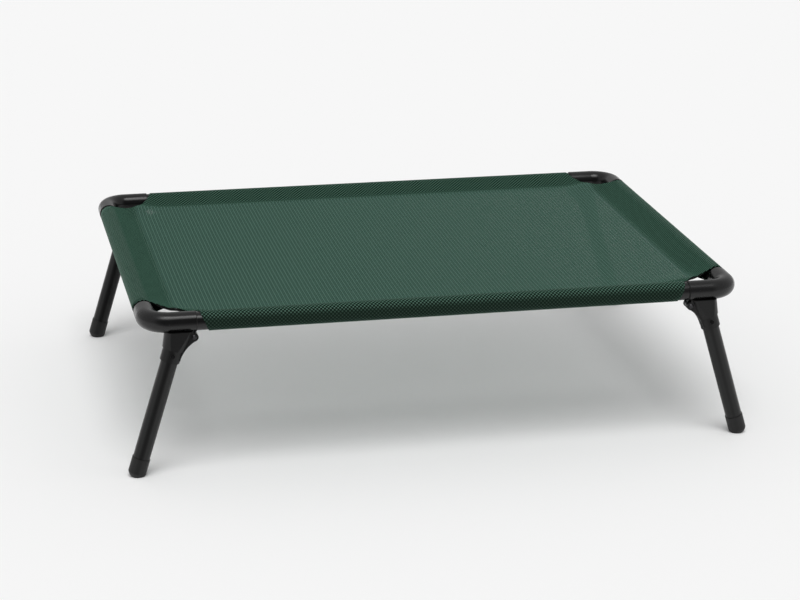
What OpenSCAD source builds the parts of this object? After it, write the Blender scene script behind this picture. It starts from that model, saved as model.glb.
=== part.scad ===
// Raised dog cot: a mesh sling stretched over a frame of steel tube on four splayed, folding legs.
// The origin is on the floor under the middle of the frame. +X runs along the long rails,
// +Y to the back and +Z up. Lengths are in millimetres and angles in degrees.

/* [Frame] */
// Distance between the centrelines of the two side rails
frame_length = 930; // [700:1:1200]
// Distance between the centrelines of the front and back rails
frame_width = 678; // [450:1:900]
// Height of the rails' centrelines above the floor
rail_height = 245.9; // [200:0.1:350]
// Outside diameter of a rail tube
rail_od = 28.6; // [25:0.1:32]
// Wall of a rail tube
rail_wall = 1.2; // [0.8:0.1:2]

/* [Corner elbows] */
// Wall of an elbow tube
elbow_wall = 1.5; // [1:0.1:2.5]
// Radial play of a rail in an elbow's socket
rail_play = 0.1; // [0.05:0.01:0.1]
// Centreline radius of an elbow's bend
bend_radius = 35; // [25:1:60]
// Straight length of an elbow on the front or back rail
long_arm = 37; // [30:1:60]
// Straight length of an elbow on a side rail
short_arm = 28; // [20:1:60]
// Distance from a rail's end to the start of the bend
rail_stop = 3; // [1:0.5:8]

/* [Leg pivots] */
// Drop of the pivot below an elbow's underside
pivot_drop = 7.2; // [6.5:0.1:10]
// Distance of the pivot from an elbow's end, towards the corner
pivot_inset = 3.5; // [0:0.5:10]
// Thickness of the lug under an elbow
lug_thickness = 6; // [4:0.5:8]
// Diameter of a rivet's shank
rivet_d = 5; // [4:0.1:6]
// Diameter of a rivet's head
rivet_head_d = 8; // [7:0.1:9]
// Height of a rivet's head
rivet_head_h = 1.6; // [1:0.1:2.5]
// Diameter of the hollow in a rivet's rolled end
rivet_hollow_d = 3; // [2:0.1:3.5]
// Depth of the hollow in a rivet's rolled end
rivet_hollow_depth = 3; // [1:0.5:5]
// Radial play of a bracket on its rivet
pivot_play = 0.05; // [0.02:0.01:0.1]
// Side play between a bracket and the lug or the rivet's ends
cheek_play = 0.3; // [0.2:0.05:0.5]

/* [Leg brackets] */
// Gap between a bracket's saddle and the elbow above it
saddle_gap = 0.3; // [0.2:0.05:0.5]
// Height that the saddle reaches up beside the elbow
saddle_wrap = 3; // [1:0.5:6]
// Thickness of one cheek beside the lug
cheek = 6.7; // [4:0.1:7]
// Length of a bracket below the pivot, along the leg
socket_depth = 47.4; // [42:0.1:60]
// Wall of the sleeve round the leg
socket_wall = 2.2; // [1.8:0.1:4]
// Length of the plain sleeve at the socket's mouth
sleeve_length = 20; // [12:0.5:28]
// Step from the sleeve out to the collar above it
collar_step = 1.5; // [0.5:0.1:3]
// Taper of the collar, from the leg's centreline
collar_flare = 8.5; // [2:0.5:12]
// Radius of the hollow edge from the pivot down to the sleeve
gusset_radius = 55; // [30:1:65]
// Thickness of plastic between the elbow and the top of a leg
roof = 6; // [4:0.5:9]

/* [Legs] */
// Splay of a leg from upright, along the frame
leg_splay = 16.9; // [8:0.1:24]
// Distance from the pivot to a leg's centreline
leg_offset = 24.8; // [23:0.1:30]
// Outside diameter of a leg tube
leg_od = 26.4; // [22:0.1:28]
// Wall of a leg tube
leg_wall = 1.2; // [0.8:0.1:2]
// Radial play of a leg in its bracket
leg_play = 0.1; // [0.05:0.01:0.1]

/* [Foot caps] */
// Wall of a foot cap round the leg
cap_wall = 0.9; // [0.8:0.1:3]
// Height of a foot cap's grip on the leg
cap_grip = 20; // [12:0.5:35]
// Extra radius of the rounded toe over the cap's own radius
toe_fullness = 0.7; // [0.4:0.1:3]
// Depth of the flat cut on the rounded toe
sole_cut = 4.5; // [2:0.1:6]
// Radial play of a cap on its leg
cap_play = 0.05; // [0.02:0.01:0.1]

/* [Snap buttons] */
// Diameter of a button
button_d = 6.5; // [5:0.1:8]
// Height of a button above its socket's mouth
button_rise = 12; // [8:0.5:20]
// Distance that a button stands proud of the sleeve
button_proud = 1.2; // [0.5:0.1:2.5]
// Diameter of the flange inside the leg
flange_d = 9; // [8.5:0.1:11]
// Thickness of the flange inside the leg
flange_t = 1.2; // [0.8:0.1:2]
// Radial play of a button in its holes
button_play = 0.1; // [0.05:0.01:0.1]
// Gap between a flange and the leg's inner wall
flange_gap = 0.2; // [0.1:0.05:0.5]
// Length of the folded spring strip behind a button
spring_length = 42; // [30:1:60]
// Width of the spring strip
spring_width = 6; // [4:0.5:8]
// Thickness of the spring strip
spring_t = 0.7; // [0.4:0.1:1]

/* [Sling] */
// Thickness of the mesh cloth
cloth = 1.2; // [0.8:0.1:2]
// Gap between a hem's sleeve and the rail in it
cloth_gap = 0.3; // [0.2:0.1:1]
// Distance from a rail's centreline to the hem's inner edge
hem_reach = 47; // [28:0.5:60]
// Width of the sewn band at the hem's inner edge
hem_seam = 10; // [3:0.5:12]
// Gap between an elbow's end and the hem on top of the rail
hem_gap = 7; // [3:0.5:20]
// Distance that the hem draws back round to the rail's underside
hem_slant = 13; // [0:0.5:25]
// Bow of the cut edge across each corner
corner_bow = 15; // [8:0.5:30]

/* [Hidden] */
$fn = 96;
// Spare length by which cutters pass the faces they cut
spare = 1;
// Depths by which the bracket's hollow edge cuts into the ear's round and runs into the sleeve
gusset_bite = 0.4;
gusset_run_in = 1.5;
// Angle by which a hem's straight sides start short of the tangent to its round
tangent_ease = 8;
// Distance from a rail's centreline at which the hem's upper layer starts to run on to the corner
hem_crest = 3;

corners = [
  ["front_left", -1, -1],
  ["front_right", 1, -1],
  ["back_left", -1, 1],
  ["back_right", 1, 1]
];
corner_pieces = ["elbow", "rivet", "bracket", "leg_tube", "foot_cap", "button", "button_spring"];

steel_black = "#2b2c2d";
plastic_black = "#1d1d1d";
rubber_black = "#222222";
rivet_steel = "#8c8c8a";
mesh_green = "#3f594e";

side_x = frame_length / 2;
long_y = frame_width / 2;
rail_r = rail_od / 2;
elbow_bore_r = rail_r + rail_play;
elbow_r = elbow_bore_r + elbow_wall;
elbow_end_x = side_x - bend_radius - long_arm;
elbow_end_y = long_y - bend_radius - short_arm;
long_rail_half = side_x - bend_radius - rail_stop;
side_rail_half = long_y - bend_radius - rail_stop;

elbow_underside = rail_height - elbow_r;
pivot_x = elbow_end_x + pivot_inset;
pivot_z = elbow_underside - pivot_drop;
ear_r = pivot_drop - 2 * saddle_gap;
lug_slot = lug_thickness + 2 * cheek_play;
plate_w = lug_slot + 2 * cheek;
saddle_top = elbow_underside + saddle_wrap;

leg_r = leg_od / 2;
leg_bore_r = leg_r - leg_wall;
socket_bore_r = leg_r + leg_play;
socket_r = socket_bore_r + socket_wall;
// Depths below the pivot's level, measured along the leg
leg_top = (leg_offset * sin(leg_splay) - pivot_drop + saddle_gap + roof + leg_r * sin(leg_splay)) / cos(leg_splay);
cap_r = leg_r + cap_play + cap_wall;
toe_r = cap_r + toe_fullness;
toe_z = toe_r - sole_cut;
leg_end = (pivot_z + leg_offset * sin(leg_splay) - toe_z) / cos(leg_splay);
button_depth = socket_depth - button_rise;
collar_depth = socket_depth - sleeve_length;
collar_rise = (pivot_drop + saddle_wrap) / cos(leg_splay);
collar_r = socket_r + collar_step;
collar_w = 2 * socket_r + collar_step;

// The hollow edge leaves the ear's round and runs into the sleeve's inner side
hollow_x = leg_offset - socket_r + gusset_run_in - gusset_radius;
hollow_reach = gusset_radius + ear_r - gusset_bite;
hollow_depth = sqrt(pow(hollow_reach, 2) - pow(hollow_x, 2));
plate_end = min(hollow_depth, socket_depth);
in_hollow = 2 * ear_r / hollow_reach * [hollow_x, -hollow_depth];

flange_r = flange_d / 2;
flange_face = sqrt(pow(leg_bore_r, 2) - pow(flange_r, 2)) - flange_gap;
spring_back = sqrt(pow(leg_bore_r, 2) - pow(spring_width / 2, 2)) - flange_gap;
spring_front = flange_face - flange_t;

hem_bore_r = rail_r + cloth_gap;
hem_r = hem_bore_r + cloth;
hem_fold = hem_reach - hem_seam;
hem_top_x = elbow_end_x - hem_gap;
hem_top_y = elbow_end_y - hem_gap;

// Round cutter that leaves a bowed edge from the long rail's hem to the side rail's hem
cut_chord = [side_x - hem_top_x, long_y - hem_top_y];
cut_r = (pow(norm(cut_chord), 2) / 4 + pow(corner_bow, 2)) / (2 * corner_bow);
cut_outward = [cut_chord[1], cut_chord[0]] / norm(cut_chord);
cut_centre = [side_x + hem_top_x, long_y + hem_top_y] / 2 + (cut_r - corner_bow) * cut_outward;

// Places a back-right piece at any corner
module at_corner(corner) {
  mirror([corner[1] < 0 ? 1 : 0, 0, 0])
    mirror([0, corner[2] < 0 ? 1 : 0, 0])
      children();
}

// Leg frame of the back-right corner: origin at the pivot, X outboard across the leg, Z up along it
module leg_frame() {
  translate([pivot_x, long_y, pivot_z])
    rotate([0, -leg_splay, 0])
      children();
}

// A round bar across the pivot, centred on the leg
module pivot_bar(r, length) {
  translate([pivot_x, long_y, pivot_z])
    rotate([90, 0, 0])
      cylinder(r = r, h = length, center = true);
}

// A round bar on the leg's centreline, from one depth down to another
module leg_bar(r, top, bottom) {
  leg_frame()
    translate([leg_offset, 0, -bottom])
      cylinder(r = r, h = bottom - top);
}

// A round bar through the leg's outward side at the button
module button_bar(r, inner, outer) {
  leg_frame()
    translate([leg_offset, inner, -button_depth])
      rotate([-90, 0, 0])
        cylinder(r = r, h = outer - inner);
}

// Solid of an elbow's path with a round section
module elbow_path(r, past_ends = 0) {
  translate([side_x - bend_radius, long_y - bend_radius, rail_height])
    rotate_extrude(angle = 90)
      translate([bend_radius, 0])
        circle(r);
  translate([side_x - bend_radius, long_y, rail_height])
    rotate([0, -90, 0])
      cylinder(r = r, h = long_arm + past_ends);
  translate([side_x, long_y - bend_radius, rail_height])
    rotate([90, 0, 0])
      cylinder(r = r, h = short_arm + past_ends);
}

module rail_tube(half_length) {
  rotate([0, 90, 0])
    difference() {
      cylinder(r = rail_r, h = 2 * half_length, center = true);
      cylinder(r = rail_r - rail_wall, h = 2 * half_length + spare, center = true);
    }
}

module long_rail(side) {
  color(steel_black)
    translate([0, side * long_y, rail_height])
      rail_tube(long_rail_half);
}

module side_rail(side) {
  color(steel_black)
    translate([side * side_x, 0, rail_height])
      rotate([0, 0, 90])
        rail_tube(side_rail_half);
}

module elbow(corner) {
  color(steel_black)
    at_corner(corner)
      difference() {
        union() {
          elbow_path(elbow_r);
          lug();
        }
        elbow_path(elbow_bore_r, spare);
        pivot_bar(rivet_d / 2 + pivot_play, lug_thickness + spare);
      }
}

// Flat lug under the elbow's long arm, with a round end about the pivot
module lug() {
  pivot_bar(ear_r, lug_thickness);
  translate([elbow_end_x, long_y - lug_thickness / 2, pivot_z])
    cube([pivot_x + ear_r - elbow_end_x, lug_thickness, rail_height - pivot_z]);
}

module rivet(corner) {
  grip = plate_w / 2 + cheek_play;
  color(rivet_steel)
    at_corner(corner)
      difference() {
        union() {
          pivot_bar(rivet_d / 2, 2 * grip);
          translate([pivot_x, long_y + grip, pivot_z])
            rotate([-90, 0, 0])
              cylinder(d1 = rivet_head_d, d2 = rivet_d, h = rivet_head_h);
          translate([pivot_x, long_y - grip, pivot_z])
            rotate([90, 0, 0])
              cylinder(d = rivet_head_d, h = rivet_head_h);
        }
        translate([pivot_x, long_y - grip - rivet_head_h - spare, pivot_z])
          rotate([-90, 0, 0])
            cylinder(d = rivet_hollow_d, h = rivet_hollow_depth + spare);
      }
}

module bracket(corner) {
  color(plastic_black)
    at_corner(corner)
      difference() {
        union() {
          leg_bar(socket_r, collar_depth, socket_depth);
          bracket_collar();
          gusset_plate();
        }
        above_saddle();
        elbow_path(elbow_r + saddle_gap, pivot_inset);
        lug_clearance();
        leg_bar(socket_bore_r, leg_top, socket_depth + spare);
        pivot_bar(rivet_d / 2 + pivot_play, plate_w + spare);
        button_bar(button_d / 2 + button_play, 0, socket_r + spare);
      }
}

// Flat-sided collar that flares from the sleeve up to the saddle
module bracket_collar() {
  intersection() {
    leg_frame()
      translate([leg_offset, 0, -collar_depth])
        cylinder(
          r1 = collar_r,
          r2 = collar_r + (collar_depth + collar_rise) * tan(collar_flare),
          h = collar_depth + collar_rise
        );
    translate([pivot_x, long_y - collar_w / 2, 0])
      cube([frame_length, collar_w, rail_height]);
  }
}

// Flat plate from the ear out under the elbow and down to the sleeve, with a hollow edge
module gusset_plate() {
  leg_frame()
    rotate([90, 0, 0])
      linear_extrude(plate_w, center = true) {
        circle(r = ear_r);
        rotate(-leg_splay)
          square([leg_offset * cos(leg_splay), pivot_drop + saddle_wrap + spare]);
        difference() {
          polygon([
            [0, 0],
            in_hollow,
            [hollow_x, -plate_end],
            [leg_offset, -plate_end],
            [leg_offset, 0]
          ]);
          translate([hollow_x, -hollow_depth])
            circle(r = gusset_radius);
        }
      }
}

// Space beside the elbow above the saddle's top
module above_saddle() {
  translate([pivot_x - ear_r, long_y - collar_w, saddle_top])
    cube([frame_length, 2 * collar_w, rail_height]);
}

// Slot between the cheeks, open at the pivot's end so that the lug swings clear
module lug_clearance() {
  translate([pivot_x - 2 * ear_r, long_y - lug_slot / 2, pivot_z - 3 * ear_r])
    cube([3 * ear_r + cheek_play, lug_slot, 3 * ear_r + rail_height - pivot_z]);
}

module leg_tube(corner) {
  color(steel_black)
    at_corner(corner)
      difference() {
        leg_bar(leg_r, leg_top, leg_end);
        leg_bar(leg_bore_r, leg_top - spare, leg_end + spare);
        button_bar(button_d / 2 + button_play, 0, leg_od);
      }
}

module foot_cap(corner) {
  color(rubber_black)
    at_corner(corner)
      difference() {
        union() {
          leg_bar(cap_r, leg_end - cap_grip, leg_end);
          intersection() {
            leg_bar(cap_r, leg_end, leg_end + toe_r);
            leg_frame()
              translate([leg_offset, 0, -leg_end])
                sphere(r = toe_r);
          }
        }
        leg_bar(leg_r + cap_play, leg_end - cap_grip - spare, leg_end);
        translate([pivot_x, long_y - toe_r, -toe_r])
          cube([frame_length, 2 * toe_r, toe_r]);
      }
}

module button(corner) {
  color(plastic_black)
    at_corner(corner) {
      button_bar(button_d / 2, flange_face - flange_t, socket_r + button_proud);
      button_bar(flange_r, flange_face - flange_t, flange_face);
    }
}

// Strip folded into a narrow V inside the leg, with its front arm behind the button
module button_spring(corner) {
  arm_top = -button_depth + flange_r;
  color(rivet_steel)
    at_corner(corner)
      leg_frame()
        translate([leg_offset, 0, arm_top])
          rotate([90, 0, 90])
            linear_extrude(spring_width, center = true)
              polygon([
                [spring_front, 0],
                [spring_front, -flange_d],
                [0, -spring_length],
                [-spring_back, 0],
                [-spring_back + spring_t, 0],
                [0, -spring_length + 2 * spring_t],
                [spring_front - spring_t, -flange_d],
                [spring_front - spring_t, 0]
              ]);
}

// Half outline of a hem beside its round: out to the fold line, then along the sewn band
function hem_side(r, fold, half) =
  let (angle = atan2(half, fold) + acos(r / norm([fold, half])) - tangent_ease)
    [-r * cos(angle), r * sin(angle)];

// Hem along X about the rail's centreline, with its sewn band towards -Y
module hem_bar(half_length) {
  upper = hem_side(hem_r, hem_fold, cloth);
  inner = hem_side(hem_bore_r, hem_fold, 0);
  rotate([90, 0, 90])
    difference() {
      union() {
        cylinder(r = hem_r, h = 2 * half_length, center = true);
        linear_extrude(2 * half_length, center = true)
          polygon([
            upper,
            [-hem_fold, cloth],
            [-hem_reach, cloth],
            [-hem_reach, -cloth],
            [-hem_fold, -cloth],
            [upper[0], -upper[1]]
          ]);
      }
      cylinder(r = hem_bore_r, h = 2 * half_length + spare, center = true);
      linear_extrude(2 * half_length + spare, center = true)
        polygon([inner, [-hem_fold, 0], [inner[0], -inner[1]]]);
    }
}

// Hem with ends that draw back towards the rail's underside, and an upper layer that runs on to the deck's corner
module hem(half_length, run_on) {
  tall = hem_r + spare;
  draw = hem_slant * tall / hem_r;
  middle = half_length - hem_slant / 2;
  intersection() {
    hem_bar(run_on);
    union() {
      rotate([90, 0, 0])
        linear_extrude(2 * hem_reach + 2 * hem_r, center = true)
          polygon([
            [-middle - draw / 2, tall],
            [middle + draw / 2, tall],
            [middle - draw / 2, -tall],
            [-middle + draw / 2, -tall]
          ]);
      translate([-run_on - spare, -hem_reach - spare, 0])
        cube([2 * (run_on + spare), hem_reach + spare - hem_crest, tall]);
    }
  }
}

// Round cutters at the sling's four corners
module corner_cuts() {
  for (corner = corners)
    at_corner(corner)
      translate([cut_centre[0], cut_centre[1], rail_height - hem_r - spare])
        cylinder(r = cut_r, h = 2 * (hem_r + spare));
}

module long_hem(side) {
  color(mesh_green)
    difference() {
      translate([0, side * long_y, rail_height])
        rotate([0, 0, side > 0 ? 0 : 180])
          hem(hem_top_x, side_x - hem_reach);
      corner_cuts();
    }
}

module side_hem(side) {
  color(mesh_green)
    difference() {
      translate([side * side_x, 0, rail_height])
        rotate([0, 0, side > 0 ? -90 : 90])
          hem(hem_top_y, long_y - hem_reach);
      corner_cuts();
    }
}

module sling_deck() {
  deck_x = side_x - hem_reach;
  deck_y = long_y - hem_reach;
  color(mesh_green)
    difference() {
      translate([-deck_x, -deck_y, rail_height])
        cube([2 * deck_x, 2 * deck_y, cloth]);
      corner_cuts();
    }
}

long_rail(-1);  // front_rail
long_rail(1);  // back_rail
side_rail(-1);  // left_rail
side_rail(1);  // right_rail
sling_deck();
long_hem(-1);  // hem_front
long_hem(1);  // hem_back
side_hem(-1);  // hem_left
side_hem(1);  // hem_right
for (corner = corners) {
  elbow(corner);
  rivet(corner);
  bracket(corner);
  leg_tube(corner);
  foot_cap(corner);
  button(corner);
  button_spring(corner);
}
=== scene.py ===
"""Looks of a raised dog cot: a green mesh sling on a frame of black steel tube with four folding legs.

Lengths are in metres, in the frame's own axes: +X along the long rails, +Y to the back and +Z up.
"""

import logging
import math
from dataclasses import dataclass
from enum import Enum
from typing import Any

import bmesh
import bpy
from mathutils import Matrix, Vector


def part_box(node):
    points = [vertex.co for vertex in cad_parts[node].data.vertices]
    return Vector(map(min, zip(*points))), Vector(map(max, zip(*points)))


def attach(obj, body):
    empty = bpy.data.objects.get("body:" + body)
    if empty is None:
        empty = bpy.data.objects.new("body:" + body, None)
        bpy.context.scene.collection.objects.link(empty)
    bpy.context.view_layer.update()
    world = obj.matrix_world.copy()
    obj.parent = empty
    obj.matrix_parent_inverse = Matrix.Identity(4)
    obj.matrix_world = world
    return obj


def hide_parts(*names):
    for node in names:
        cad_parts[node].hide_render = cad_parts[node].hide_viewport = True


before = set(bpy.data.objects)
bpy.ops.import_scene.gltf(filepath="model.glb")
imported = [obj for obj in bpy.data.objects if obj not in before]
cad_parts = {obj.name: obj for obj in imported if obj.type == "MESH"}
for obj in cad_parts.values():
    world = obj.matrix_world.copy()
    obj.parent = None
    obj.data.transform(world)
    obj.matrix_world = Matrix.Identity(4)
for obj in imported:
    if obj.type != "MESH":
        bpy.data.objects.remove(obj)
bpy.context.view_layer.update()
log = logging.getLogger("dog_cot")

MM = 0.001
ROUND_RAIL = "angle_past_rail_top"


class Corner(Enum):
    """The four corners, with the signs of X and Y there."""

    FRONT_LEFT = (-1, -1)
    FRONT_RIGHT = (1, -1)
    BACK_LEFT = (-1, 1)
    BACK_RIGHT = (1, 1)

    @property
    def label(self) -> str:
        """Name of the corner as the frame's nodes spell it."""
        return self.name.lower()


class Slot(Enum):
    """Two material slot names, which this script does not use."""

    FRAME_TUBE = "frame_tube"
    MESH = "mesh"


def linear(code: str) -> tuple[float, float, float, float]:
    """Turn an sRGB hex colour to linear light.

    Args:
        code: The colour as "#rrggbb".

    Returns:
        Red, green, blue and an alpha of 1.
    """
    channels = [int(code[i : i + 2], 16) / 255 for i in (1, 3, 5)]
    light = [c / 12.92 if c <= 0.04045 else ((c + 0.055) / 1.055) ** 2.4 for c in channels]
    return (*light, 1.0)


def add_node(
    tree: bpy.types.NodeTree, kind: str, links: dict[Any, Any] | None = None, **settings: Any
) -> bpy.types.Node:
    """Add a node with its settings and links.

    Args:
        tree: The node tree.
        kind: The node's type.
        links: Input names or numbers, each with the output that feeds it or the value that it holds.
        settings: The node's own options.

    Returns:
        The new node.
    """
    node = tree.nodes.new(kind)
    for name, value in settings.items():
        setattr(node, name, value)
    for name, value in (links or {}).items():
        if isinstance(value, bpy.types.NodeSocket):
            tree.links.new(value, node.inputs[name])
        else:
            node.inputs[name].default_value = value
    return node


def smooth_step(x: float) -> float:
    """Ease from 0 to 1 as x goes from 0 to 1."""
    x = min(1.0, max(0.0, x))
    return x * x * (3 - 2 * x)


def new_piece(name: str, mesh: bmesh.types.BMesh) -> bpy.types.Object:
    """Make a smooth-shaded object of a bmesh, which is freed.

    Args:
        name: The piece's name.
        mesh: The finished shape, in place.

    Returns:
        The new object, at the origin.
    """
    data = bpy.data.meshes.new(name)
    mesh.to_mesh(data)
    mesh.free()
    for face in data.polygons:
        face.use_smooth = True
    piece = bpy.data.objects.new(name, data)
    bpy.context.scene.collection.objects.link(piece)
    return piece


def dress(piece: bpy.types.Object, material: bpy.types.Material) -> None:
    """Give a piece one material all over."""
    piece.data.materials.clear()
    piece.data.materials.append(material)


def thicken(piece: bpy.types.Object, thickness: float) -> None:
    """Give a cloth's middle surface its thickness.

    Args:
        piece: The piece that is still one surface.
        thickness: The thickness, half of it to each side.
    """
    solid = piece.modifiers.new("cloth", "SOLIDIFY")
    solid.thickness = thickness
    solid.offset = 0.0


@dataclass(frozen=True)
class Finish:
    """A finish that becomes one material.

    Attributes:
        name: The material's common name.
        colour: Its main colour in sRGB.
        roughness: Its middle roughness.
    """

    name: str
    colour: str
    roughness: float

    def material(self) -> bpy.types.Material:
        """Make the material, or find it if it is made already.

        Returns:
            The material.
        """
        made = bpy.data.materials.get(self.name)
        if made is None:
            made = bpy.data.materials.new(self.name)
            made.use_nodes = True
            tree = made.node_tree
            tree.nodes.clear()
            surface = self.surface(tree)
            add_node(tree, "ShaderNodeOutputMaterial", {"Surface": surface.outputs[0]})
        return made

    def surface(self, tree: bpy.types.NodeTree) -> bpy.types.Node:
        """Build the shader.

        Args:
            tree: The material's empty node tree.

        Returns:
            The node whose first output is the shader.
        """
        raise NotImplementedError


@dataclass(frozen=True)
class GrainedFinish(Finish):
    """A coating or moulding with a fine even grain, and a faint unevenness over a hand's breadth.

    Attributes:
        worn: The colour where the surface is rubbed or dusty.
        grain: Size of the grain, made coarser than a real one so that it shows.
        grain_noise: Octaves of the grain's noise, and what each keeps of the one before.
        relief: Height of the grain.
        cloud: Size of the uneven patches.
        cloud_noise: Octaves of the patches' noise, and what each keeps of the one before.
        cloud_range: Levels of that noise between which roughness goes from its least to its most.
        spread: How far roughness strays from its middle.
        metallic: 1 for bare metal.
        gloss: Strength of the mirror-like part, 0.5 for common plastics and paints.
        facing_share: Share of that strength which is left where the surface faces the eye.
        facing_range: Turns away from the eye, from 0 to 1, between which the strength comes back.
        facing_blend: Evenness of that turn's measure.
    """

    worn: str = "#3a3a3a"
    grain: float = 0.8 * MM
    grain_noise: tuple[float, float] = (2.0, 0.5)
    relief: float = 0.02 * MM
    cloud: float = 40 * MM
    cloud_noise: tuple[float, float] = (3.0, 0.55)
    cloud_range: tuple[float, float] = (0.3, 0.7)
    spread: float = 0.06
    metallic: float = 0.0
    gloss: float = 0.5
    facing_share: float = 1.0
    facing_range: tuple[float, float] = (0.01, 0.14)
    facing_blend: float = 0.5

    def surface(self, tree: bpy.types.NodeTree) -> bpy.types.Node:
        """Build the shader: grain as bump, and clouds in colour and roughness.

        Args:
            tree: The material's empty node tree.

        Returns:
            The node whose first output is the shader.
        """
        place = add_node(tree, "ShaderNodeTexCoord").outputs["Object"]
        noises = []
        for size, (octaves, keep) in ((self.grain, self.grain_noise), (self.cloud, self.cloud_noise)):
            links = {"Vector": place, "Scale": 1 / size, "Detail": octaves, "Roughness": keep}
            noises.append(add_node(tree, "ShaderNodeTexNoise", links).outputs["Fac"])
        grain, cloud = noises
        tint = add_node(
            tree,
            "ShaderNodeMix",
            {"Factor": cloud, "A": linear(self.colour), "B": linear(self.worn)},
            data_type="RGBA",
        )
        rough = add_node(
            tree,
            "ShaderNodeMapRange",
            {
                "Value": cloud,
                "From Min": self.cloud_range[0],
                "From Max": self.cloud_range[1],
                "To Min": self.roughness - self.spread,
                "To Max": self.roughness + self.spread,
            },
        )
        bump = add_node(tree, "ShaderNodeBump", {"Height": grain, "Distance": self.relief, "Strength": 1.0})
        away = add_node(tree, "ShaderNodeLayerWeight", {"Blend": self.facing_blend})
        shine = add_node(
            tree,
            "ShaderNodeMapRange",
            {
                "Value": away.outputs["Facing"],
                "From Min": self.facing_range[0],
                "From Max": self.facing_range[1],
                "To Min": self.gloss * self.facing_share,
                "To Max": self.gloss,
            },
            interpolation_type="SMOOTHSTEP",
        )
        return add_node(
            tree,
            "ShaderNodeBsdfPrincipled",
            {
                "Base Color": tint.outputs["Result"],
                "Roughness": rough.outputs["Result"],
                "Metallic": self.metallic,
                "Specular IOR Level": shine.outputs["Result"],
                "Normal": bump.outputs["Normal"],
            },
        )


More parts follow.
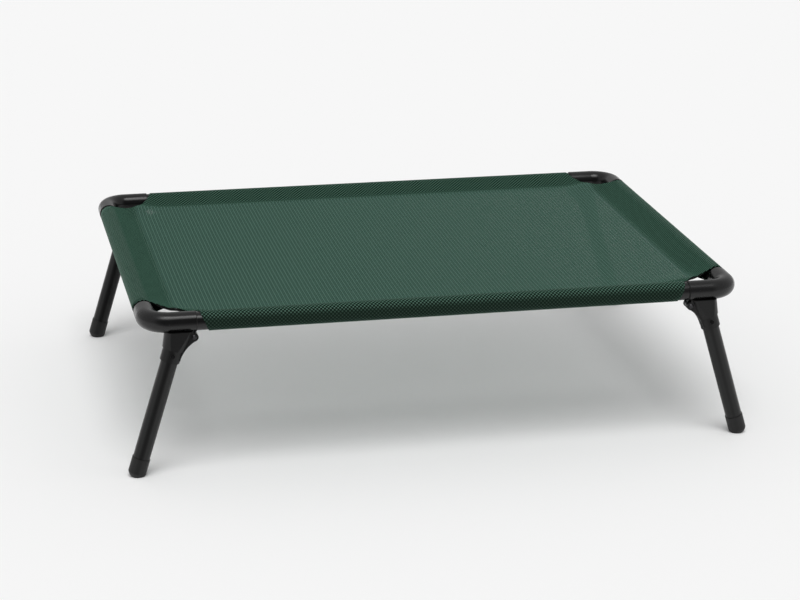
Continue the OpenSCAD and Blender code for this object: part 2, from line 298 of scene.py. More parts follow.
@dataclass(frozen=True)
class MeshCloth(Finish):
    """Knitted polyester mesh: staggered round holes between shiny strands.

    The pattern reads the sheet's UV map, which holds the flat cloth's own coordinates in metres.

    Attributes:
        groove: Painted shade between the ribs that run along the cloth, darker than the ribs' colour.
        doubled: Painted shade on the hems' strands, darker than the deck's because less light comes through
            the two layers.
        hollow: Painted shade down in the holes and on the strands' edges beside them; where a hem closes its
            holes it also stands for the black rail behind.
        pitch: Distance between holes along a row. Rows lie half a pitch apart and are staggered.
        hole: Level of the pattern, from -1 to 1, above which the cloth is open.
        edge: Softness of the holes' edges, in the same measure.
        relief: Height of the strands.
        shoulder: Fall of the pattern, in the same measure, from a hole's edge to a strand's flat crown.
        steepness: Strength of the strands' shading.
        gloss: Strength of the mirror-like part on a strand that lies over its rail.
        sheen: Strength of the strands' soft shine.
        sheen_spread: Roughness of that shine.
        sheen_tint: Its colour.
        drawn: Painted shade on each hem's lower half round its black rail and underneath, a near-black
            green.
        drawn_share: How far the mesh takes on that painted shade.
        drawn_from: Angles past the rail's top between which that painted shade comes in.
        shiny_from: Angles past the rail's top between which the mesh comes to lie on the rail.
        backed_from: Angles past the rail's top between which the holes close on the hem's dark inside and
            the strands take the hems' painted shade.
    """

    # Painted shade between the ribs.
    groove: str = "#517165"
    # Painted shade on the hems' strands.
    doubled: str = "#456456"
    # Painted shade in and beside the holes.
    hollow: str = "#030604"
    pitch: float = 5.9 * MM
    hole: float = 0.05
    edge: float = 0.04
    relief: float = 0.5 * MM
    shoulder: float = 0.35
    steepness: float = 0.3
    gloss: float = 0.1
    sheen: float = 0.12
    sheen_spread: float = 0.45
    sheen_tint: str = "#aeffdc"
    # Painted shade on the hems' lower halves and undersides.
    drawn: str = "#15211a"
    drawn_share: float = 0.85
    drawn_from: tuple[float, float] = (0.53, 1.38)
    shiny_from: tuple[float, float] = (-0.75, 0.2)
    backed_from: tuple[float, float] = (-3.32, -3.2)

    def surface(self, tree: bpy.types.NodeTree) -> bpy.types.Node:
        """Build the shader: strands as bump and colour, and holes as alpha.

        Args:
            tree: The material's empty node tree.

        Returns:
            The node whose first output is the shader.
        """
        flat = add_node(tree, "ShaderNodeSeparateXYZ", {0: add_node(tree, "ShaderNodeUVMap").outputs["UV"]})
        waves = []
        for axis in ("X", "Y"):
            links = {0: flat.outputs[axis], 1: math.tau / self.pitch}
            turn = add_node(tree, "ShaderNodeMath", links, operation="MULTIPLY")
            wave = add_node(tree, "ShaderNodeMath", {0: turn.outputs[0]}, operation="COSINE")
            waves.append(wave.outputs[0])
        knit = add_node(tree, "ShaderNodeMath", {0: waves[0], 1: waves[1]}, operation="MULTIPLY")
        pattern = knit.outputs[0]
        angle = add_node(tree, "ShaderNodeAttribute", attribute_name=ROUND_RAIL).outputs["Fac"]
        levels = []
        for value, low, high, start, end in (
            (pattern, self.hole - self.edge, self.hole + self.edge, 1.0, 0.0),
            (pattern, self.hole - self.shoulder, self.hole, 1.0, 0.0),
            (pattern, self.hole - self.shoulder, self.hole, 0.0, 1.0),
            (waves[0], -1.0, 1.0, 0.0, 1.0),
            (angle, *self.backed_from, 0.0, 1.0),
            (angle, *self.drawn_from, 0.0, self.drawn_share),
            (angle, *self.shiny_from, 0.0, self.gloss),
        ):
            links = {"Value": value, "From Min": low, "From Max": high, "To Min": start, "To Max": end}
            ramp = add_node(tree, "ShaderNodeMapRange", links, interpolation_type="SMOOTHSTEP")
            levels.append(ramp.outputs["Result"])
        strand, crown, hole_shade_mask, rib, backed_and_shaded, drawn, shine = levels
        # Start from the painted shade between the ribs.
        tone = linear(self.groove)
        for share, colour in (
            (rib, self.colour),
            # Painted shade on the hems' strands.
            (backed_and_shaded, self.doubled),
            # Painted shade darkening the strands towards each hole.
            (hole_shade_mask, self.hollow),
            # Painted shade on the hems' lower halves and undersides.
            (drawn, self.drawn),
        ):
            links = {"Factor": share, "A": tone, "B": linear(colour)}
            tone = add_node(tree, "ShaderNodeMix", links, data_type="RGBA").outputs["Result"]
        cover = add_node(tree, "ShaderNodeMath", {0: strand, 1: backed_and_shaded}, operation="MAXIMUM")
        gloss = add_node(tree, "ShaderNodeMath", {0: shine, 1: crown}, operation="MULTIPLY")
        links = {"Height": crown, "Distance": self.relief, "Strength": self.steepness}
        bump = add_node(tree, "ShaderNodeBump", links)
        return add_node(
            tree,
            "ShaderNodeBsdfPrincipled",
            {
                "Base Color": tone,
                "Roughness": self.roughness,
                "Alpha": cover.outputs[0],
                "Specular IOR Level": gloss.outputs[0],
                "Sheen Weight": self.sheen,
                "Sheen Roughness": self.sheen_spread,
                "Sheen Tint": linear(self.sheen_tint),
                "Normal": bump.outputs["Normal"],
            },
        )


# Powder baked on steel tube: a smooth satin black with a clear highlight along each tube.
POWDER_COAT = GrainedFinish(
    "satin_black_powder_coat", "#0a0a0a", 0.25, worn="#0f0f10", gloss=0.42, facing_share=0.22
)
# The same coat with a duller finish: wider, fainter highlights on the legs.
LEG_COAT = GrainedFinish(
    "matt_black_powder_coat", "#0a0a0a", 0.34, worn="#0f0f0f", gloss=0.36, facing_share=0.12
)
# Glass-filled nylon from a lightly etched mould: an even matt black with soft highlights at its edges.
NYLON = GrainedFinish(
    "moulded_black_nylon", "#0a0a0a", 0.4, worn="#101010", grain=0.5 * MM, gloss=0.3, facing_share=0.3
)
# Turned acetal: a dull deep black that makes the buttons read as dark spots.
ACETAL = GrainedFinish("black_acetal", "#040404", 0.6, worn="#070707", grain=0.4 * MM, gloss=0.12)
# Moulded rubber: a slightly greyer black than the tubes', with broad highlights.
RUBBER = GrainedFinish(
    "black_rubber", "#101010", 0.5, worn="#161616", grain=0.6 * MM, gloss=0.36, facing_share=0.5
)
# Steel plated with black zinc: a dark grey metal with a small highlight on the rivet's head.
RIVET_STEEL = GrainedFinish(
    "black_zinc_steel", "#2c2c2d", 0.34, worn="#48484a", grain=0.4 * MM, relief=0.01 * MM, metallic=1.0
)
# Rolled spring steel: bright grey metal.
SPRING_STEEL = GrainedFinish(
    "spring_steel", "#8d8f92", 0.30, worn="#a5a6a8", grain=0.3 * MM, relief=0.004 * MM, metallic=1.0
)
# Knitted polyester: a muted green with fine ribs, through whose holes the floor shows faintly; painted shade
# darkens the grooves between its ribs, its holes' edges, its hems and the hems' undersides.
CLOTH = MeshCloth("green_polyester_mesh", "#67897b", 0.42)
# A flat black sheet hung under each bowed edge: painted shade where the folded cloth lies in shadow.
SHADE_SHEET = GrainedFinish(
    "painted_shade_sheet", "#0a0b0a", 0.8, worn="#101210", grain=0.9 * MM, relief=0.2 * MM, gloss=0.1
)
# Twisted polyester thread: fine dull green dashes along the seams.
THREAD = GrainedFinish("green_sewing_thread", "#4f7163", 0.6, worn="#5d8072", grain=0.4 * MM)


@dataclass(frozen=True)
class HemSection:
    """Cross-section of a hem: up from the fold line, round the rail and back under the deck.

    Attributes:
        wrap: Radius of the cloth's middle round the rail.
        fold: Distance from the rail's centreline in to the fold line.
        seam: Width of the sewn band past the fold line.
        spacing: Distance between the middles of two layers.
        ease: Half width of the rounded crease at the fold line.
    """

    wrap: float
    fold: float
    seam: float
    spacing: float
    ease: float

    @property
    def lean(self) -> float:
        """Angle from the inboard direction up to where the cloth meets the rail."""
        level = self.spacing / 2
        return math.atan2(level, self.fold) + math.acos(self.wrap / math.hypot(self.fold, level))

    @property
    def slope(self) -> float:
        """Length of the straight stretch between the fold line and the rail."""
        return math.sqrt(self.fold**2 + (self.spacing / 2) ** 2 - self.wrap**2)

    @property
    def crest(self) -> float:
        """Flat distance from the fold line to the top of the rail."""
        return self.slope + self.wrap * (math.pi / 2 - self.lean)

    @property
    def length(self) -> float:
        """Flat distance from the fold line to the hem's sewn end."""
        return 2 * self.slope + 2 * self.wrap * (math.pi - self.lean) + self.seam

    def place(self, along: float) -> tuple[float, float]:
        """Find a point of the section.

        Args:
            along: Flat distance past the fold line.

        Returns:
            Distance inboard of the rail's centreline, and height above it.
        """
        touch = Vector((self.wrap * math.cos(self.lean), self.wrap * math.sin(self.lean)))
        start = Vector((self.fold, self.spacing / 2))
        turn = 2 * self.wrap * (math.pi - self.lean)
        if along <= 0:
            return self.fold - along, self.spacing / 2
        if along <= self.slope:
            return tuple(start.lerp(touch, along / self.slope))
        if along <= self.slope + turn:
            angle = self.lean + (along - self.slope) / self.wrap
            return self.wrap * math.cos(angle), self.wrap * math.sin(angle)
        back = along - self.slope - turn
        if back <= self.slope:
            spot = touch.lerp(start, back / self.slope)
            return spot.x, -spot.y
        return self.fold + back - self.slope, -self.spacing / 2

    def along(self, inboard: float) -> float:
        """Find the flat distance past the fold line on the upper layer, the reverse of place.

        Args:
            inboard: Distance inboard of the rail's centreline, 0 or more.

        Returns:
            The flat distance, below 0 on the deck.
        """
        touch = self.wrap * math.cos(self.lean)
        if inboard < touch:
            return self.slope + self.wrap * (math.acos(inboard / self.wrap) - self.lean)
        return (self.fold - inboard) * (self.slope / (self.fold - touch) if inboard < self.fold else 1.0)

    def rise(self, inboard: float) -> float:
        """Find how far the upper layer stands above the deck.

        Args:
            inboard: Distance inboard of the rail's centreline, 0 or more.

        Returns:
            The height above the deck.
        """
        touch = self.wrap * math.cos(self.lean)
        if inboard < touch:
            return math.sqrt(self.wrap**2 - inboard**2) - self.spacing / 2
        steep = (self.wrap * math.sin(self.lean) - self.spacing / 2) / (self.fold - touch)
        if inboard < self.fold - self.ease:
            return steep * (self.fold - inboard)
        if inboard < self.fold + self.ease:
            return steep * (self.fold + self.ease - inboard) ** 2 / (4 * self.ease)
        return 0.0


@dataclass
class Sling:
    """The mesh sheet, with a hem round each rail, a bowed edge across each corner and its stitching.

    Attributes:
        front_hem_half: Half length of a hem on a long rail, along the rail's top.
        side_hem_half: Half length of a hem on a side rail, along the rail's top.
        slant: Distance that a hem's end draws back from the rail's top to its underside.
        slant_run: Length of hem over which the drawn-back end eases out.
        bow: Depth of the bowed edge across a corner.
        lift: Height of that edge's middle above the deck.
        lift_reach: Distance over which the lifted edge settles to the deck.
        sag: Drop of the deck's middle.
        cloth: Thickness of the mesh.
        core_share: Share of that thickness between the inner layers, which close the holes at a slant.
        seam: Width of the sewn band past the fold line.
        crease: Half width of the rounded crease at the fold line.
        tape_in: How far the black sheet of painted shade under a bowed edge reaches in from it.
        tape_drop: How far that sheet hangs down.
        tape_clear: Distance from a rail's centreline where that sheet ends.
        tape_steps: Grid steps along and across that sheet.
        middle_steps: Grid steps over half the deck, along X and Y.
        corner_steps: Grid steps from a hem's end to the rail's top.
        wrap_steps: Grid steps from the rail's top round to the seam.
        stitch: Length of a stitch.
        stitch_pitch: Distance from one stitch to the next.
        stitch_rows: Distances of the rows of stitches from the fold line.
        thread: Thickness of the thread.
        proud: Share of that thickness by which a stitch's middle stands above the mesh.
    """

    front_hem_half: float = 386 * MM
    side_hem_half: float = 269 * MM
    slant: float = 13 * MM
    slant_run: float = 50 * MM
    bow: float = 15 * MM
    lift: float = 6 * MM
    lift_reach: float = 32 * MM
    sag: float = 2 * MM
    cloth: float = 0.95 * MM
    core_share: float = 1 / 3
    seam: float = 10 * MM
    crease: float = 4 * MM
    tape_in: float = 9 * MM
    tape_drop: float = 6 * MM
    tape_clear: float = 15 * MM
    tape_steps: tuple[int, int] = (48, 4)
    middle_steps: tuple[int, int] = (28, 20)
    corner_steps: int = 18
    wrap_steps: int = 36
    stitch: float = 2.8 * MM
    stitch_pitch: float = 3.6 * MM
    stitch_rows: tuple[float, float] = (5.5 * MM, 8.5 * MM)
    thread: float = 0.5 * MM
    proud: float = 0.1

    def __post_init__(self) -> None:
        """Read the rails' places from the frame."""
        low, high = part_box("front_rail")
        side_low, side_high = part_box("right_rail")
        _, hem_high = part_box("hem_front")
        deck_low, deck_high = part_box("sling_deck")
        self.level = (low.z + high.z) / 2
        self.rail_y = -(low.y + high.y) / 2
        self.rail_x = (side_low.x + side_high.x) / 2
        layer = deck_high.z - deck_low.z
        self.section = HemSection(
            wrap=hem_high.z - self.level - layer / 2,
            fold=self.rail_y - deck_high.y - self.seam,
            seam=self.seam,
            spacing=layer,
            ease=self.crease,
        )
        self.fold_x = self.rail_x - self.section.fold
        self.fold_y = self.rail_y - self.section.fold
        self._place_corner_cut()

    def _place_corner_cut(self) -> None:
        """Work out the circle that cuts the back-right corner."""
        start = Vector((self.front_hem_half, self.rail_y))
        end = Vector((self.rail_x, self.side_hem_half))
        chord = end - start
        self.cut_radius = (chord.length_squared / 4 + self.bow**2) / (2 * self.bow)
        outward = Vector((-chord.y, chord.x)).normalized()
        self.cut_centre = (start + end) / 2 + (self.cut_radius - self.bow) * outward
        self.cut_middle = self.cut_centre - self.cut_radius * outward
        self.cut_start, self.cut_end = start, end

    def stations(self, half: float, steps: int, fold: float) -> list[float]:
        """List the flat coordinates of the grid's lines along one axis.

        Args:
            half: Half length of the hems that run along this axis.
            steps: Grid steps over that half.
            fold: Flat coordinate of the fold line of the hem across this axis.

        Returns:
            The coordinates, from the lowest to the highest.
        """
        crest = fold + self.section.crest
        end = fold + self.section.length
        right = [half * i / steps for i in range(1, steps + 1)]
        right += [half + (crest - half) * i / self.corner_steps for i in range(1, self.corner_steps + 1)]
        right += [crest + (end - crest) * i / self.wrap_steps for i in range(1, self.wrap_steps + 1)]
        return [-x for x in reversed(right)] + [0.0] + right

    def height(self, x: float, y: float) -> float:
        """Find the upper layer's height above the floor.

        Args:
            x: Place along the frame, as if in the back-right quarter.
            y: Place across the frame, as if in the back-right quarter.

        Returns:
            The height of the cloth's middle.
        """
        rise = self.section.rise(max(0.0, self.rail_x - x)) + self.section.rise(max(0.0, self.rail_y - y))
        gap = (Vector((x, y)) - self.cut_middle).length / self.lift_reach
        lift = self.lift * math.exp(-gap * gap)
        droop = max(0.0, 1 - (x / self.fold_x) ** 2) * max(0.0, 1 - (y / self.fold_y) ** 2)
        return self.level + self.section.spacing / 2 + rise + lift - self.sag * droop

    def drawn_back(self, along: float, half: float, z: float) -> float:
        """Draw a hem's end back towards the rail's underside.

        Args:
            along: Place along the hem, 0 or more.
            half: Half length of the hem.
            z: Height above the rail's centreline.

        Returns:
            The new place along the hem.
        """
        share = (self.section.wrap - z) / (2 * self.section.wrap)
        return along - self.slant * share * smooth_step((along - half + self.slant_run) / self.slant_run)

    def arc(self, start: Vector, share: float) -> Vector:
        """Find a point on the bowed edge, between one end and its middle.

        Args:
            start: The end, as a plan point.
            share: 0 at the end and 1 at the middle.

        Returns:
            The plan point.
        """
        first = (start - self.cut_centre).to_3d()
        last = (self.cut_middle - self.cut_centre).to_3d()
        turn = math.atan2(first.cross(last).z, first.dot(last))
        return self.cut_centre + (Matrix.Rotation(turn * share, 2) @ first.to_2d())

    def corner_plan(self, a: float, b: float) -> Vector:
        """Place a point of the corner patch between the hems' ends and the bowed edge.

        Args:
            a: Flat X of the point.
            b: Flat Y of the point.

        Returns:
            The plan point.
        """
        crest_a = self.fold_x + self.section.crest
        crest_b = self.fold_y + self.section.crest
        u = (a - self.front_hem_half) / (crest_a - self.front_hem_half)
        v = (b - self.side_hem_half) / (crest_b - self.side_hem_half)
        near = Vector((self.front_hem_half, self.side_hem_half))
        low = Vector((self.rail_x - self.section.place(a - self.fold_x)[0], self.side_hem_half))
        left = Vector((self.front_hem_half, self.rail_y - self.section.place(b - self.fold_y)[0]))
        right = self.arc(self.cut_end, v)
        high = self.arc(self.cut_start, u)
        corners = near * (1 - u) * (1 - v) + self.cut_end * u * (1 - v)
        corners += self.cut_start * (1 - u) * v + self.cut_middle * u * v
        return low * (1 - v) + high * v + left * (1 - u) + right * u - corners

    def upper(self, plan: Vector) -> tuple[Vector, Vector]:
        """Lay a plan point on the upper layer.

        Args:
            plan: The point, in the back-right quarter.

        Returns:
            Its place, and its place on the flat cloth.
        """
        flat_x = self.fold_x + self.section.along(self.rail_x - plan.x)
        flat_y = self.fold_y + self.section.along(self.rail_y - plan.y)
        return Vector((plan.x, plan.y, self.height(plan.x, plan.y))), Vector((flat_x, flat_y))

    def place(self, a: float, b: float) -> tuple[Vector, Vector]:
        """Lay a point of the grid on the frame.

        Args:
            a: Grid X of the point, in the back-right quarter.
            b: Grid Y of the point, in the back-right quarter.

        Returns:
            Its place, and its place on the flat cloth.
        """
        if a > self.front_hem_half and b > self.side_hem_half:
            return self.upper(self.corner_plan(a, b))
        over_x = self.section.place(a - self.fold_x)
        over_y = self.section.place(b - self.fold_y)
        x, y = self.rail_x - over_x[0], self.rail_y - over_y[0]
        if a - self.fold_x > self.section.crest:
            y = self.drawn_back(b, self.side_hem_half, over_x[1])
            return Vector((x, y, self.level + over_x[1])), Vector((a, y))
        if b - self.fold_y > self.section.crest:
            x = self.drawn_back(a, self.front_hem_half, over_y[1])
            return Vector((x, y, self.level + over_y[1])), Vector((x, b))
        return self.upper(Vector((x, y)))

    def sheet_mesh(self) -> bmesh.types.BMesh:
        """Build the sheet's middle surface from one grid, with its flat coordinates as UVs.

        Returns:
            The surface.
        """
        flat_x = self.stations(self.front_hem_half, self.middle_steps[0], self.fold_x)
        flat_y = self.stations(self.side_hem_half, self.middle_steps[1], self.fold_y)
        steps_x, steps_y = len(flat_x) - 1, len(flat_y) - 1
        mesh = bmesh.new()
        angle = mesh.verts.layers.float.new(ROUND_RAIL)
        bmesh.ops.create_grid(mesh, x_segments=steps_x, y_segments=steps_y, size=1.0)
        flat = {
            v: (flat_x[round((v.co.x + 1) / 2 * steps_x)], flat_y[round((v.co.y + 1) / 2 * steps_y)])
            for v in mesh.verts
        }
        spare = [face for face in mesh.faces if self.is_cut_away(face, flat)]
        bmesh.ops.delete(mesh, geom=spare, context="FACES")
        for vert in mesh.verts:
            a, b = flat[vert]
            spot, cloth = self.place(abs(a), abs(b))
            vert.co = (math.copysign(spot.x, a), math.copysign(spot.y, b), spot.z)
            flat[vert] = Vector((math.copysign(cloth.x, a), math.copysign(cloth.y, b)))
        for vert in mesh.verts:
            past = max(abs(flat[vert].x) - self.fold_x, abs(flat[vert].y) - self.fold_y) - self.section.crest
            vert[angle] = past / self.section.wrap
        layer = mesh.loops.layers.uv.new("flat_cloth")
        for face in mesh.faces:
            for loop in face.loops:
                loop[layer].uv = flat[loop.vert]
        return mesh

    def rail_gap(self, spot: Vector) -> float:
        """Distance in plan from a point to the nearest rail's centreline."""
        return min(self.rail_x - abs(spot.x), self.rail_y - abs(spot.y))

    def make_bindings(self) -> bpy.types.Object:
        """Make the black sheets of painted shade under the bowed edges, each hanging in under the deck.

        Returns:
            The four sheets as one piece.
        """
        mesh = bmesh.new()
        along, over = self.tape_steps
        bmesh.ops.create_grid(mesh, x_segments=along, y_segments=over, size=1.0)
        for vert in mesh.verts:
            side = (vert.co.x + 1) / 2
            across = (vert.co.y + 1) / 2
            half = self.arc(self.cut_start, 2 * side) if side < 0.5 else self.arc(self.cut_end, 2 - 2 * side)
            ease = smooth_step((self.rail_gap(half) - self.tape_clear) / self.tape_clear)
            way = (half - self.cut_centre).normalized()
            plan = half + way * self.tape_in * across * ease
            drop = self.cloth + self.tape_drop * math.sin(across * math.pi / 2) * ease
            vert.co = (plan.x, plan.y, self.height(half.x, half.y) - drop)
        spare = [f for f in mesh.faces if self.rail_gap(f.calc_center_median()) < self.tape_clear]
        bmesh.ops.delete(mesh, geom=spare, context="FACES")
        quarter = mesh.verts[:] + mesh.edges[:] + mesh.faces[:]
        for corner in (Corner.FRONT_LEFT, Corner.FRONT_RIGHT, Corner.BACK_LEFT):
            twin = bmesh.ops.duplicate(mesh, geom=quarter)["geom"]
            verts = [part for part in twin if isinstance(part, bmesh.types.BMVert)]
            bmesh.ops.scale(mesh, vec=(*corner.value, 1), verts=verts)
        bmesh.ops.recalc_face_normals(mesh, faces=mesh.faces)
        # A black sheet of painted shade, hung where the folded cloth lies in shadow.
        hung_shade = new_piece("sling_shade_sheet", mesh)
        thicken(hung_shade, self.cloth)
        return hung_shade

    def is_cut_away(self, face: bmesh.types.BMFace, flat: dict) -> bool:
        """Tell whether a face of the grid lies in a notch that the cut cloth lacks.

        Args:
            face: The face.
            flat: The grid's vertices, each with its flat coordinates.

        Returns:
            True if the face is to be deleted.
        """
        a = sum(abs(flat[v][0]) for v in face.verts) / len(face.verts)
        b = sum(abs(flat[v][1]) for v in face.verts) / len(face.verts)
        past_x = a > self.fold_x + self.section.crest
        past_y = b > self.fold_y + self.section.crest
        return (past_x and b > self.side_hem_half) or (past_y and a > self.front_hem_half)

    def build(self) -> None:
        mesh = self.sheet_mesh()
        core = new_piece("sling_core", mesh.copy())
        sheet = new_piece("sling", mesh)
        thicken(sheet, self.cloth)
        thicken(core, self.cloth * self.core_share)
        stitches = self.make_stitches()
        # Black sheets of painted shade under the bowed edges.
        shade_sheets = self.make_bindings()
        for piece, finish in ((sheet, CLOTH), (core, CLOTH), (stitches, THREAD), (shade_sheets, SHADE_SHEET)):
            dress(piece, finish.material())
            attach(piece, "frame")
        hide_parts("sling_deck", "hem_front", "hem_back", "hem_left", "hem_right")

    def make_stitches(self) -> bpy.types.Object:
        """Sew the rows of stitches along each hem's seam.

        Returns:
            All stitches as one piece.
        """
        mesh = bmesh.new()
        for inset in self.stitch_rows:
            far_x, far_y = self.fold_x - inset, self.fold_y - inset
            for i in range(-int(far_x / self.stitch_pitch), int(far_x / self.stitch_pitch) + 1):
                for side in (-1, 1):
                    self.add_stitch(mesh, Vector((i * self.stitch_pitch, side * far_y)), 0.0)
            for i in range(-int(far_y / self.stitch_pitch), int(far_y / self.stitch_pitch) + 1):
                for side in (-1, 1):
                    self.add_stitch(mesh, Vector((side * far_x, i * self.stitch_pitch)), math.pi / 2)
        return new_piece("sling_stitches", mesh)

    def add_stitch(self, mesh: bmesh.types.BMesh, plan: Vector, turn: float) -> None:
        """Lay one stitch on the deck, unless the cloth is cut away there.

        Args:
            mesh: The stitches so far.
            plan: The stitch's middle.
            turn: Its direction in plan.
        """
        x, y = abs(plan.x), abs(plan.y)
        if (Vector((x, y)) - self.cut_centre).length < self.cut_radius + self.stitch:
            return
        spot = Vector((plan.x, plan.y, self.height(x, y) + self.cloth / 2 + self.thread * self.proud))
        size = Matrix.Diagonal((self.stitch / 2, self.thread / 2, self.thread / 2, 1))
        place = Matrix.Translation(spot) @ Matrix.Rotation(turn, 4, "Z") @ size
        bmesh.ops.create_icosphere(mesh, subdivisions=1, radius=1.0, matrix=place)

    @staticmethod
    def flat_area(face: bmesh.types.BMFace, layer: bmesh.types.BMLayerItem) -> float:
        """Area of a face on the flat cloth."""
        points = [loop[layer].uv for loop in face.loops]
        return abs(sum(p.x * q.y - q.x * p.y for p, q in zip(points, points[1:] + points[:1]))) / 2


@dataclass
class TubeFrame:
    """The rails, elbows and rivets, which keep their own meshes, and a black ring of painted shade at each
    elbow's end.

    Attributes:
        elbow_end_x: Place of an elbow's end on a long rail.
        gasket_width: Width of a ring along its rail.
        gasket_step: How far a ring lies below the elbow's surface.
        gasket_sides: Sides of a ring.
        gasket_sides: Sides of a gasket.
    """

    elbow_end_x: float = 393 * MM
    gasket_width: float = 1.0 * MM
    gasket_step: float = 0.3 * MM
    gasket_sides: int = 48

    def make_gaskets(self) -> bpy.types.Object:
        """Make the thin black rings where the elbows' ends meet the rails: painted shade standing in for the
        dark groove there.

        Returns:
            All rings as one piece.
        """
        mesh = bmesh.new()
        low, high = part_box("front_rail")
        side_low, side_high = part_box("right_rail")
        elbow_low, elbow_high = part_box("elbow_back_right")
        level, rail = (low.z + high.z) / 2, (high.z - low.z) / 2
        outer = elbow_high.z - level - self.gasket_step
        rail_x, rail_y = (side_low.x + side_high.x) / 2, -(low.y + high.y) / 2
        for corner in Corner:
            sign_x, sign_y = corner.value
            on_long = Vector((sign_x * (self.elbow_end_x - self.gasket_width / 2), sign_y * rail_y, level))
            on_side = Vector((sign_x * rail_x, sign_y * (elbow_low.y - self.gasket_width / 2), level))
            self.add_ring(mesh, on_long, Vector((1, 0, 0)), rail, outer)
            self.add_ring(mesh, on_side, Vector((0, 1, 0)), rail, outer)
        bmesh.ops.recalc_face_normals(mesh, faces=mesh.faces)
        return new_piece("elbow_shade_rings", mesh)

    def add_ring(
        self, mesh: bmesh.types.BMesh, centre: Vector, axis: Vector, inner: float, outer: float
    ) -> None:
        """Add one ring, spun from its square section.

        Args:
            mesh: The rings so far.
            centre: The ring's middle.
            axis: Direction of its rail.
            inner: Inner radius.
            outer: Outer radius.
        """
        half = axis * self.gasket_width / 2
        spots = [centre + Vector((0, 0, r)) + way for way in (-half, half) for r in (inner, outer)]
        section = [mesh.verts.new(spots[i]) for i in (0, 1, 3, 2)]
        edges = [mesh.edges.new((section[i], section[i - 1])) for i in range(4)]
        bmesh.ops.spin(
            mesh,
            geom=section + edges,
            cent=centre,
            axis=axis,
            angle=math.tau,
            steps=self.gasket_sides,
            use_merge=True,
        )

    def build(self) -> None:
        """Dress the tubes and rivets, and add the rings of painted shade."""
        # Black rings of painted shade in the steps where the elbows end.
        shade_rings = self.make_gaskets()
        dress(shade_rings, RUBBER.material())
        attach(shade_rings, "frame")
        for name in ("front_rail", "back_rail", "left_rail", "right_rail"):
            dress(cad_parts[name], POWDER_COAT.material())
        for corner in Corner:
            dress(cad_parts[f"elbow_{corner.label}"], POWDER_COAT.material())
            dress(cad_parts[f"rivet_{corner.label}"], RIVET_STEEL.material())
        log.info("frame: four rails, four elbows and four rivets")


@dataclass
class Leg:
    """One folding leg with its bracket, tube, cap, button and spring.

    Attributes:
        corner: The corner that it stands at.
    """

    corner: Corner

    def build(self) -> None:
        """Dress the leg's pieces."""
        finishes = {
            "bracket": NYLON,
            "leg_tube": LEG_COAT,
            "foot_cap": RUBBER,
            "button": ACETAL,
            "button_spring": SPRING_STEEL,
        }
        for piece, finish in finishes.items():
            dress(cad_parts[f"{piece}_{self.corner.label}"], finish.material())
        log.info("leg: %s", self.corner.label)


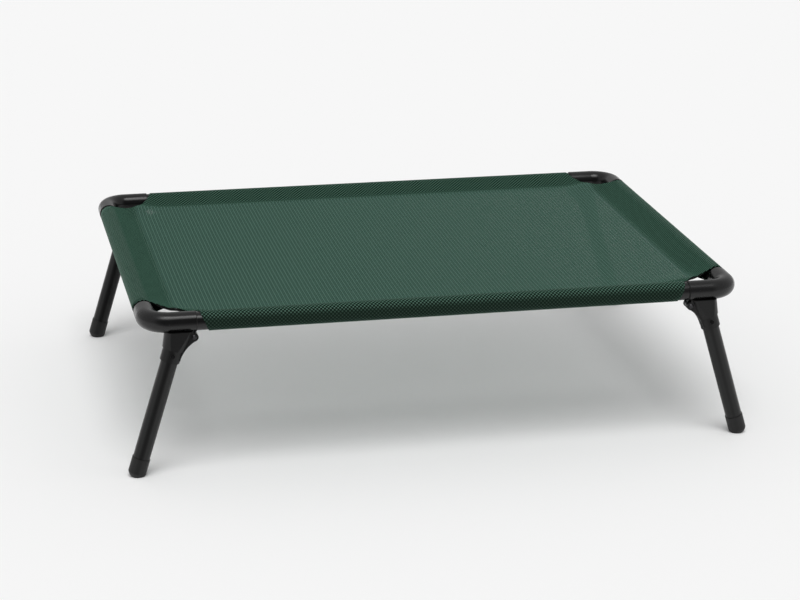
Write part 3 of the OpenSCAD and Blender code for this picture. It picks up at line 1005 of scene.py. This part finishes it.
@dataclass
class Studio:
    """A pale floor, soft light from above and the camera.

    Attributes:
        azimuth: Turn of the camera round the object, in degrees.
        elevation: Height of the camera above the horizon, in degrees.
        roll: Tilt of the picture, in degrees.
        distance: Distance from the camera to its target.
        target: The point at the picture's middle.
        lens: Focal length, in millimetres.
        sensor: Width of the camera's sensor, in millimetres.
        view_depth: Distance past which the camera sees nothing.
        floor_half: Half width of the floor.
        floor_colour: The floor's colour.
        sky: Strength of the sky's light at the front and at the back.
        sky_span: Y of the sky's directions between which that strength changes.
        sun: Strength of the overhead lamp.
        sun_width: Angle that the lamp fills, in degrees.
        sun_turn: The lamp's turns about X and Y, in degrees.
    """

    azimuth: float = -12.29
    elevation: float = 18.11
    roll: float = 0.41
    distance: float = 4.014
    target: tuple[float, float, float] = (-0.0034, -0.0115, 0.150)
    lens: float = 106.5
    sensor: float = 36.0
    view_depth: float = 100.0
    floor_half: float = 14.0
    floor_colour: str = "#f4f4f4"
    sky: tuple[float, float] = (0.66, 0.68)
    sky_span: tuple[float, float] = (-0.8, 0.8)
    sun: float = 1.7
    sun_width: float = 38.0
    sun_turn: tuple[float, float] = (24.0, -5.0)

    def build(self) -> None:
        """Make the floor, the light and the camera."""
        bpy.context.scene.view_settings.view_transform = "Standard"
        self.make_floor()
        self.make_light()
        self.make_camera()

    def make_floor(self) -> None:
        """Lay the floor."""
        mesh = bmesh.new()
        bmesh.ops.create_grid(mesh, x_segments=1, y_segments=1, size=self.floor_half)
        floor = new_piece("floor", mesh)
        made = bpy.data.materials.new("pale_floor")
        made.use_nodes = True
        tree = made.node_tree
        tree.nodes.clear()
        paint = add_node(tree, "ShaderNodeBsdfDiffuse", {"Color": linear(self.floor_colour)})
        add_node(tree, "ShaderNodeOutputMaterial", {"Surface": paint.outputs[0]})
        dress(floor, made)

    def make_light(self) -> None:
        """Set the sky and the overhead lamp."""
        world = bpy.data.worlds.new("studio")
        bpy.context.scene.world = world
        world.use_nodes = True
        tree = world.node_tree
        tree.nodes.clear()
        place = add_node(tree, "ShaderNodeTexCoord").outputs["Generated"]
        level = add_node(
            tree,
            "ShaderNodeMapRange",
            {
                "Value": add_node(tree, "ShaderNodeSeparateXYZ", {0: place}).outputs["Y"],
                "From Min": self.sky_span[0],
                "From Max": self.sky_span[1],
                "To Min": self.sky[0],
                "To Max": self.sky[1],
            },
            interpolation_type="SMOOTHSTEP",
        )
        glow = add_node(tree, "ShaderNodeBackground", {"Strength": level.outputs["Result"]})
        add_node(tree, "ShaderNodeOutputWorld", {"Surface": glow.outputs[0]})
        lamp = bpy.data.lights.new("overhead", "SUN")
        lamp.energy = self.sun
        lamp.angle = math.radians(self.sun_width)
        light = bpy.data.objects.new("overhead", lamp)
        light.rotation_euler = (*(math.radians(x) for x in self.sun_turn), 0.0)
        bpy.context.scene.collection.objects.link(light)

    def make_camera(self) -> None:
        """Place the camera."""
        turn, tilt, roll = (math.radians(x) for x in (self.azimuth, self.elevation, self.roll))
        back = Vector((math.sin(turn) * math.cos(tilt), -math.cos(turn) * math.cos(tilt), math.sin(tilt)))
        right = Vector((math.cos(turn), math.sin(turn), 0))
        up = back.cross(right)
        level = Matrix((right, up, back)).transposed().to_4x4()
        lens = bpy.data.cameras.new("camera")
        lens.sensor_width = self.sensor
        lens.lens = self.lens
        lens.clip_end = self.view_depth
        camera = bpy.data.objects.new("camera", lens)
        place = Matrix.Translation(Vector(self.target) + back * self.distance)
        camera.matrix_world = place @ level @ Matrix.Rotation(roll, 4, "Z")
        bpy.context.scene.collection.objects.link(camera)
        bpy.context.scene.camera = camera


def main() -> None:
    """Build the scene in order."""
    logging.basicConfig(level=logging.INFO, format="%(name)s: %(message)s")
    Studio().build()
    Sling().build()
    TubeFrame().build()
    for corner in Corner:
        Leg(corner).build()


if __name__ == "__main__":
    main()
